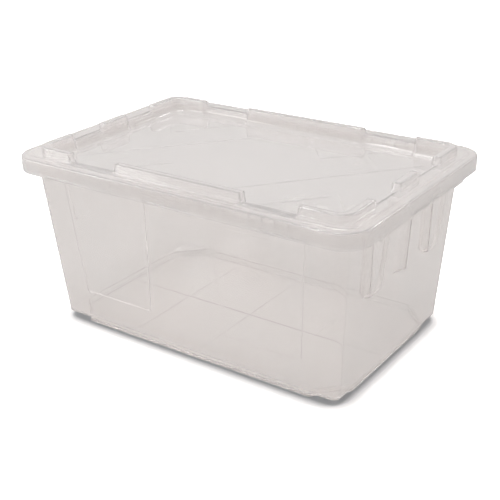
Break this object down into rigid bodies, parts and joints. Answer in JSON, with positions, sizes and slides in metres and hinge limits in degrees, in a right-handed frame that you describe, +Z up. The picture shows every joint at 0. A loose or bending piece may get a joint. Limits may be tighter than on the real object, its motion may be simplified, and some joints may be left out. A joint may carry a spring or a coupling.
{
  "type": "stackable storage bin",
  "caption": "Clear plastic storage tote with drafted walls, a turned-down rim with end handles and a lift-off snap lid with raised stacking rails.",
  "frame": {"origin": "centre of the tub's foot, on the surface that the bin stands on", "axes": "+X along the length, +Y along the width, +Z up out of the tub"},
  "size_m": [0.6, 0.394, 0.2897],
  "materials": {
    "clear_tub": "natural clear polypropylene, faintly milky, smooth moulded gloss",
    "clear_lid": "natural clear polypropylene, milkier than the tub, smooth moulded gloss"
  },
  "bodies": {
    "tub": {"tub": "clear_tub"},
    "lid": {"lid": "clear_lid"}
  },
  "joints": [
    {"name": "lid_lift", "type": "slide", "parent": "tub", "child": "lid", "axis": [0, 0, 1], "range_m": [0, 0.06]}
  ]
}
